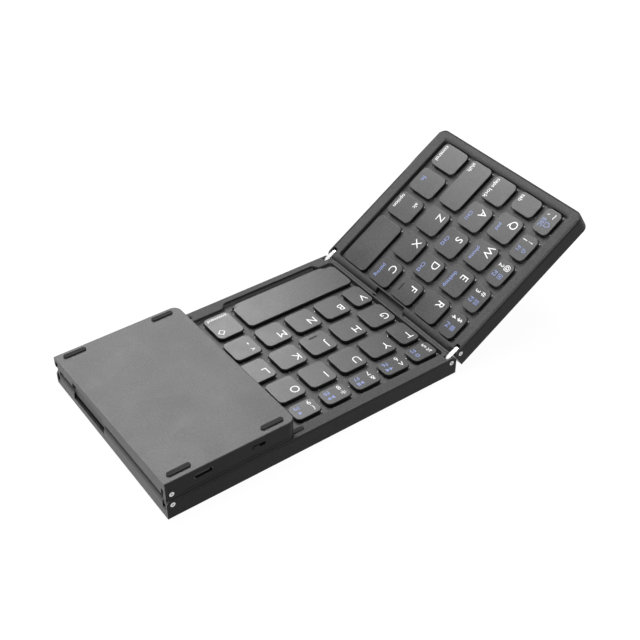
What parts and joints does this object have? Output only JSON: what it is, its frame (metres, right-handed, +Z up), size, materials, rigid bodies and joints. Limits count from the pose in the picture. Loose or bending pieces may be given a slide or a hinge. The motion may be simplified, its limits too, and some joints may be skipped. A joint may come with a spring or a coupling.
{
  "type": "folding keyboard",
  "caption": "Pocket keyboard in three wedge-section panels joined by double-pivot hinges, with a touchpad panel that folds over the keys.",
  "frame": {"origin": "on the table that the centre panel stands on, under the middle of the centre panel", "axes": "+X to the user's right along the panels, +Y away from the user, +Z up"},
  "size_m": [0.23, 0.1002, 0.0594],
  "materials": {
    "case": "fine satin grain, dark grey",
    "bezel": "fine satin grain, grey",
    "cap": "fine matte, grey",
    "plate": "thin painted sheet",
    "clip": "moulded scissor clips",
    "dome": "moulded silicone sheet",
    "foot": "soft black pads",
    "bright": "bright plated pins and bars",
    "bridge": "black flexible cable cover",
    "pad": "smooth touch surface",
    "board": "solder mask over fibre board",
    "cell": "foil pouch",
    "shell": "drawn steel shell"
  },
  "bodies": {
    "centre_panel": {"centre_case": "case", "centre_bezel": "bezel", "centre_key_plate": "plate", "centre_dome_sheet": "dome", "centre_scissors": "clip", "rubber_feet_and_bumpers": "foot", "centre_hinge_pins": "bright"},
    "left_link": {"left_link_bars": "bright", "left_cable_bridge": "bridge"},
    "left_panel": {"left_case": "case", "left_bezel": "bezel", "left_key_plate": "plate", "left_dome_sheet": "dome", "left_scissors": "clip", "left_feet": "foot", "left_hinge_pins": "bright"},
    "right_link": {"right_link_bars": "bright", "right_cable_bridge": "bridge"},
    "right_panel": {"right_case": "case", "right_bezel": "bezel", "touchpad": "pad", "main_board": "board", "battery": "cell", "charge_port": "shell", "right_feet": "foot", "right_hinge_pins": "bright"},
    "power_switch": {"power_switch": "case"},
    "key_r": {"key_r": "cap"},
    "key_e": {"key_e": "cap"},
    "key_w": {"key_w": "cap"},
    "key_q": {"key_q": "cap"},
    "key_f": {"key_f": "cap"},
    "key_d": {"key_d": "cap"},
    "key_s": {"key_s": "cap"},
    "key_a": {"key_a": "cap"},
    "key_c": {"key_c": "cap"},
    "key_x": {"key_x": "cap"},
    "key_z": {"key_z": "cap"},
    "key_space_left": {"key_space_left": "cap"},
    "left_number_keys": {"left_number_keys": "cap"},
    "left_modifier_keys": {"left_modifier_keys": "cap"},
    "key_t": {"key_t": "cap"},
    "key_v": {"key_v": "cap"},
    "key_y": {"key_y": "cap"},
    "key_u": {"key_u": "cap"},
    "key_i": {"key_i": "cap"},
    "key_o": {"key_o": "cap"},
    "key_g": {"key_g": "cap"},
    "key_h": {"key_h": "cap"},
    "key_j": {"key_j": "cap"},
    "key_k": {"key_k": "cap"},
    "key_l": {"key_l": "cap"},
    "key_b": {"key_b": "cap"},
    "key_n": {"key_n": "cap"},
    "key_m": {"key_m": "cap"},
    "key_comma": {"key_comma": "cap"},
    "key_command": {"key_command": "cap"},
    "key_space_right": {"key_space_right": "cap"},
    "centre_number_keys": {"centre_number_keys": "cap"},
    "centre_right_keys": {"centre_right_keys": "cap"}
  },
  "joints": [
    {"name": "fold_left_inner", "type": "hinge", "parent": "centre_panel", "child": "left_link", "pos_m": [-0.0734, 0.00007, 0.00635], "axis": [0, 0.9997, 0.0253], "range_deg": [-31, 59]},
    {"name": "fold_left_outer", "type": "hinge", "parent": "left_link", "child": "left_panel", "pos_m": [-0.07854, -0.00001, 0.00944], "axis": [0, 0.9997, 0.0253], "range_deg": [-2, 88]},
    {"name": "fold_right_inner", "type": "hinge", "parent": "centre_panel", "child": "right_link", "pos_m": [0.0734, 0.00007, 0.00635], "axis": [0, 0.9997, 0.0253], "range_deg": [0, 90]},
    {"name": "fold_right_outer", "type": "hinge", "parent": "right_link", "child": "right_panel", "pos_m": [0.0734, -0.00008, 0.01235], "axis": [0, 0.9997, 0.0253], "range_deg": [0, 90]},
    {"name": "power_slide", "type": "slide", "parent": "right_panel", "child": "power_switch", "axis": [-1, 0, 0], "range_m": [0, 0.0028]},
    {"name": "press_r", "type": "slide", "parent": "left_panel", "child": "key_r", "axis": [-0.5446, 0.0212, -0.8384], "range_m": [0, 0.0013], "stiffness_N_per_m": 250, "springref_m": -0.0002},
    {"name": "press_e", "type": "slide", "parent": "left_panel", "child": "key_e", "axis": [-0.5446, 0.0212, -0.8384], "range_m": [0, 0.0013], "stiffness_N_per_m": 250, "springref_m": -0.0002},
    {"name": "press_w", "type": "slide", "parent": "left_panel", "child": "key_w", "axis": [-0.5446, 0.0212, -0.8384], "range_m": [0, 0.0013], "stiffness_N_per_m": 250, "springref_m": -0.0002},
    {"name": "press_q", "type": "slide", "parent": "left_panel", "child": "key_q", "axis": [-0.5446, 0.0212, -0.8384], "range_m": [0, 0.0013], "stiffness_N_per_m": 250, "springref_m": -0.0002},
    {"name": "press_f", "type": "slide", "parent": "left_panel", "child": "key_f", "axis": [-0.5446, 0.0212, -0.8384], "range_m": [0, 0.0013], "stiffness_N_per_m": 250, "springref_m": -0.0002},
    {"name": "press_d", "type": "slide", "parent": "left_panel", "child": "key_d", "axis": [-0.5446, 0.0212, -0.8384], "range_m": [0, 0.0013], "stiffness_N_per_m": 250, "springref_m": -0.0002},
    {"name": "press_s", "type": "slide", "parent": "left_panel", "child": "key_s", "axis": [-0.5446, 0.0212, -0.8384], "range_m": [0, 0.0013], "stiffness_N_per_m": 250, "springref_m": -0.0002},
    {"name": "press_a", "type": "slide", "parent": "left_panel", "child": "key_a", "axis": [-0.5446, 0.0212, -0.8384], "range_m": [0, 0.0013], "stiffness_N_per_m": 250, "springref_m": -0.0002},
    {"name": "press_c", "type": "slide", "parent": "left_panel", "child": "key_c", "axis": [-0.5446, 0.0212, -0.8384], "range_m": [0, 0.0013], "stiffness_N_per_m": 250, "springref_m": -0.0002},
    {"name": "press_x", "type": "slide", "parent": "left_panel", "child": "key_x", "axis": [-0.5446, 0.0212, -0.8384], "range_m": [0, 0.0013], "stiffness_N_per_m": 250, "springref_m": -0.0002},
    {"name": "press_z", "type": "slide", "parent": "left_panel", "child": "key_z", "axis": [-0.5446, 0.0212, -0.8384], "range_m": [0, 0.0013], "stiffness_N_per_m": 250, "springref_m": -0.0002},
    {"name": "press_space_left", "type": "slide", "parent": "left_panel", "child": "key_space_left", "axis": [-0.5446, 0.0212, -0.8384], "range_m": [0, 0.0013], "stiffness_N_per_m": 250, "springref_m": -0.0002},
    {"name": "press_left_number_keys", "type": "slide", "parent": "left_panel", "child": "left_number_keys", "axis": [-0.5446, 0.0212, -0.8384], "range_m": [0, 0.0013], "stiffness_N_per_m": 250, "springref_m": -0.0002},
    {"name": "press_left_modifier_keys", "type": "slide", "parent": "left_panel", "child": "left_modifier_keys", "axis": [-0.5446, 0.0212, -0.8384], "range_m": [0, 0.0013], "stiffness_N_per_m": 250, "springref_m": -0.0002},
    {"name": "press_t", "type": "slide", "parent": "centre_panel", "child": "key_t", "axis": [0, 0.0253, -0.9997], "range_m": [0, 0.0013], "stiffness_N_per_m": 250, "springref_m": -0.0002},
    {"name": "press_v", "type": "slide", "parent": "centre_panel", "child": "key_v", "axis": [0, 0.0253, -0.9997], "range_m": [0, 0.0013], "stiffness_N_per_m": 250, "springref_m": -0.0002},
    {"name": "press_y", "type": "slide", "parent": "centre_panel", "child": "key_y", "axis": [0, 0.0253, -0.9997], "range_m": [0, 0.0013], "stiffness_N_per_m": 250, "springref_m": -0.0002},
    {"name": "press_u", "type": "slide", "parent": "centre_panel", "child": "key_u", "axis": [0, 0.0253, -0.9997], "range_m": [0, 0.0013], "stiffness_N_per_m": 250, "springref_m": -0.0002},
    {"name": "press_i", "type": "slide", "parent": "centre_panel", "child": "key_i", "axis": [0, 0.0253, -0.9997], "range_m": [0, 0.0013], "stiffness_N_per_m": 250, "springref_m": -0.0002},
    {"name": "press_o", "type": "slide", "parent": "centre_panel", "child": "key_o", "axis": [0, 0.0253, -0.9997], "range_m": [0, 0.0013], "stiffness_N_per_m": 250, "springref_m": -0.0002},
    {"name": "press_g", "type": "slide", "parent": "centre_panel", "child": "key_g", "axis": [0, 0.0253, -0.9997], "range_m": [0, 0.0013], "stiffness_N_per_m": 250, "springref_m": -0.0002},
    {"name": "press_h", "type": "slide", "parent": "centre_panel", "child": "key_h", "axis": [0, 0.0253, -0.9997], "range_m": [0, 0.0013], "stiffness_N_per_m": 250, "springref_m": -0.0002},
    {"name": "press_j", "type": "slide", "parent": "centre_panel", "child": "key_j", "axis": [0, 0.0253, -0.9997], "range_m": [0, 0.0013], "stiffness_N_per_m": 250, "springref_m": -0.0002},
    {"name": "press_k", "type": "slide", "parent": "centre_panel", "child": "key_k", "axis": [0, 0.0253, -0.9997], "range_m": [0, 0.0013], "stiffness_N_per_m": 250, "springref_m": -0.0002},
    {"name": "press_l", "type": "slide", "parent": "centre_panel", "child": "key_l", "axis": [0, 0.0253, -0.9997], "range_m": [0, 0.0013], "stiffness_N_per_m": 250, "springref_m": -0.0002},
    {"name": "press_b", "type": "slide", "parent": "centre_panel", "child": "key_b", "axis": [0, 0.0253, -0.9997], "range_m": [0, 0.0013], "stiffness_N_per_m": 250, "springref_m": -0.0002},
    {"name": "press_n", "type": "slide", "parent": "centre_panel", "child": "key_n", "axis": [0, 0.0253, -0.9997], "range_m": [0, 0.0013], "stiffness_N_per_m": 250, "springref_m": -0.0002},
    {"name": "press_m", "type": "slide", "parent": "centre_panel", "child": "key_m", "axis": [0, 0.0253, -0.9997], "range_m": [0, 0.0013], "stiffness_N_per_m": 250, "springref_m": -0.0002},
    {"name": "press_comma", "type": "slide", "parent": "centre_panel", "child": "key_comma", "axis": [0, 0.0253, -0.9997], "range_m": [0, 0.0013], "stiffness_N_per_m": 250, "springref_m": -0.0002},
    {"name": "press_command", "type": "slide", "parent": "centre_panel", "child": "key_command", "axis": [0, 0.0253, -0.9997], "range_m": [0, 0.0013], "stiffness_N_per_m": 250, "springref_m": -0.0002},
    {"name": "press_space_right", "type": "slide", "parent": "centre_panel", "child": "key_space_right", "axis": [0, 0.0253, -0.9997], "range_m": [0, 0.0013], "stiffness_N_per_m": 250, "springref_m": -0.0002},
    {"name": "press_centre_number_keys", "type": "slide", "parent": "centre_panel", "child": "centre_number_keys", "axis": [0, 0.0253, -0.9997], "range_m": [0, 0.0013], "stiffness_N_per_m": 250, "springref_m": -0.0002},
    {"name": "press_centre_right_keys", "type": "slide", "parent": "centre_panel", "child": "centre_right_keys", "axis": [0, 0.0253, -0.9997], "range_m": [0, 0.0013], "stiffness_N_per_m": 250, "springref_m": -0.0002}
  ]
}
